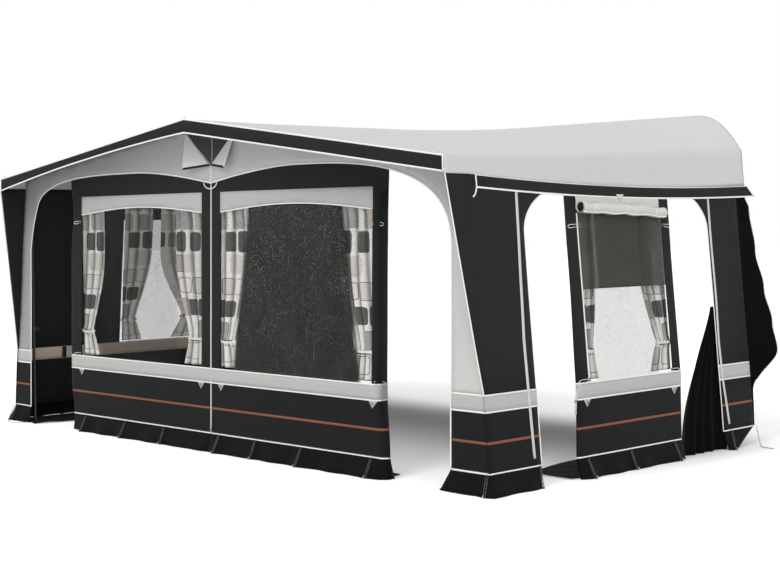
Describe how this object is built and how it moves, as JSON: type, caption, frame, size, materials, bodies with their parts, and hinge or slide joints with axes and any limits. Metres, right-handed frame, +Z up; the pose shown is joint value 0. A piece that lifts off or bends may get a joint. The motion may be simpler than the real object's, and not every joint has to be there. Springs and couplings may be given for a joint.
{
  "type": "caravan awning",
  "caption": "Full-length cloth awning with a pitched roof, windowed walls and mud skirts on a telescoping steel frame, hung from a caravan's rail.",
  "frame": {"origin": "on the ground, under the foot of the centre front upright", "axes": "+X along the caravan to the right seen from the front, +Y from the front wall to the caravan, +Z up"},
  "size_m": [5.8006, 3.4571, 2.524],
  "materials": {
    "roof_cloth": "coated roof cloth, satin",
    "grey_cloth": "coated woven polyester, matt",
    "black_cloth": "coated woven polyester, matt",
    "skirt_cloth": "PVC-coated cloth, dull sheen",
    "curtain_cloth": "printed cotton, matt",
    "clear_film": "clear PVC film, glossy",
    "dark_mesh": "fine fly-screen mesh",
    "steel": "zinc-plated tube",
    "zip_metal": "black enamel",
    "black_plastic": "moulded, fine grain",
    "white_cord": "PVC bead"
  },
  "bodies": {
    "root": {"corner_skirt_left": "skirt_cloth", "corner_skirt_right": "skirt_cloth", "door_drape_right": "black_cloth", "eave_pole_left": "steel", "eave_pole_right": "steel", "front_fascia": "black_cloth", "front_film_left": "clear_film", "front_film_right": "clear_film", "front_gable": "grey_cloth", "front_panel_left": "black_cloth", "front_panel_right": "black_cloth", "front_skirt_left": "skirt_cloth", "front_skirt_right": "skirt_cloth", "gable_vent_flap_left": "grey_cloth", "gable_vent_flap_right": "grey_cloth", "gable_vent_net": "dark_mesh", "rail_bead": "white_cord", "rear_return_left": "black_cloth", "rear_return_right": "black_cloth", "rear_skirt_right": "skirt_cloth", "rear_upright_left": "steel", "rear_upright_right": "steel", "roof_canopy": "roof_cloth", "roof_pole_centre": "steel", "roof_pole_left": "steel", "roof_pole_right": "steel", "side_blind": "grey_cloth", "side_film_left": "clear_film", "side_film_right": "clear_film", "side_mesh_screen": "dark_mesh", "side_panel_left": "black_cloth", "side_panel_right": "black_cloth", "side_skirt_left": "skirt_cloth", "side_skirt_right": "skirt_cloth", "side_valance_left": "black_cloth", "side_valance_right": "black_cloth", "side_wall_left": "black_cloth", "side_wall_right": "black_cloth", "upright_sleeve_centre": "steel", "upright_sleeve_left": "steel", "upright_sleeve_right": "steel"},
    "leg_left": {"upright_leg_left": "steel", "foot_plate_left": "black_plastic"},
    "knob_left": {"clamp_knob_left": "black_plastic"},
    "tail_left": {"roof_pole_tail_left": "steel"},
    "leg_centre": {"upright_leg_centre": "steel", "foot_plate_centre": "black_plastic"},
    "knob_centre": {"clamp_knob_centre": "black_plastic"},
    "tail_centre": {"roof_pole_tail_centre": "steel"},
    "leg_right": {"upright_leg_right": "steel", "foot_plate_right": "black_plastic"},
    "knob_right": {"clamp_knob_right": "black_plastic"},
    "tail_right": {"roof_pole_tail_right": "steel"},
    "front_curtain_1": {"front_curtain_1": "curtain_cloth"},
    "front_curtain_2": {"front_curtain_2": "curtain_cloth"},
    "front_curtain_3": {"front_curtain_3": "curtain_cloth"},
    "front_curtain_4": {"front_curtain_4": "curtain_cloth"},
    "side_curtain_front": {"side_curtain_front": "curtain_cloth"},
    "side_curtain_rear": {"side_curtain_rear": "curtain_cloth"},
    "zip_slider": {"front_zip_slider": "zip_metal"}
  },
  "joints": [
    {"name": "leg_left_slide", "type": "slide", "parent": "root", "child": "leg_left", "axis": [0, 0, -1], "range_m": [-0.2, 0.25]},
    {"name": "knob_left_turn", "type": "hinge", "parent": "root", "child": "knob_left", "pos_m": [-2.55, 0.03, 0.8025], "axis": [0, 1, 0], "range_deg": [0, 360]},
    {"name": "tail_left_slide", "type": "slide", "parent": "root", "child": "tail_left", "axis": [0, 0.9996, 0.03], "range_m": [-0.4, 0.03]},
    {"name": "leg_centre_slide", "type": "slide", "parent": "root", "child": "leg_centre", "axis": [0, 0, -1], "range_m": [-0.2, 0.25]},
    {"name": "knob_centre_turn", "type": "hinge", "parent": "root", "child": "knob_centre", "pos_m": [0, 0.03, 0.8025], "axis": [0, 1, 0], "range_deg": [0, 360]},
    {"name": "tail_centre_slide", "type": "slide", "parent": "root", "child": "tail_centre", "axis": [0, 1, 0.005], "range_m": [-0.4, 0.03]},
    {"name": "leg_right_slide", "type": "slide", "parent": "root", "child": "leg_right", "axis": [0, 0, -1], "range_m": [-0.2, 0.25]},
    {"name": "knob_right_turn", "type": "hinge", "parent": "root", "child": "knob_right", "pos_m": [2.55, 0.03, 0.8025], "axis": [0, 1, 0], "range_deg": [0, 360]},
    {"name": "tail_right_slide", "type": "slide", "parent": "root", "child": "tail_right", "axis": [0, 0.9996, 0.03], "range_m": [-0.4, 0.03]},
    {"name": "front_curtain_1_slide", "type": "slide", "parent": "root", "child": "front_curtain_1", "axis": [1, 0, 0], "range_m": [0, 0.45]},
    {"name": "front_curtain_2_slide", "type": "slide", "parent": "root", "child": "front_curtain_2", "axis": [-1, 0, 0], "range_m": [0, 0.45]},
    {"name": "front_curtain_3_slide", "type": "slide", "parent": "root", "child": "front_curtain_3", "axis": [1, 0, 0], "range_m": [0, 0.45]},
    {"name": "front_curtain_4_slide", "type": "slide", "parent": "root", "child": "front_curtain_4", "axis": [-1, 0, 0], "range_m": [0, 0.45]},
    {"name": "side_curtain_front_slide", "type": "slide", "parent": "root", "child": "side_curtain_front", "axis": [0, 1, 0], "range_m": [0, 0.2]},
    {"name": "side_curtain_rear_slide", "type": "slide", "parent": "root", "child": "side_curtain_rear", "axis": [0, -1, 0], "range_m": [0, 0.2]},
    {"name": "zip_slider_slide", "type": "slide", "parent": "root", "child": "zip_slider", "axis": [0, 0.016, 0.9999], "range_m": [0, 1.78]}
  ]
}
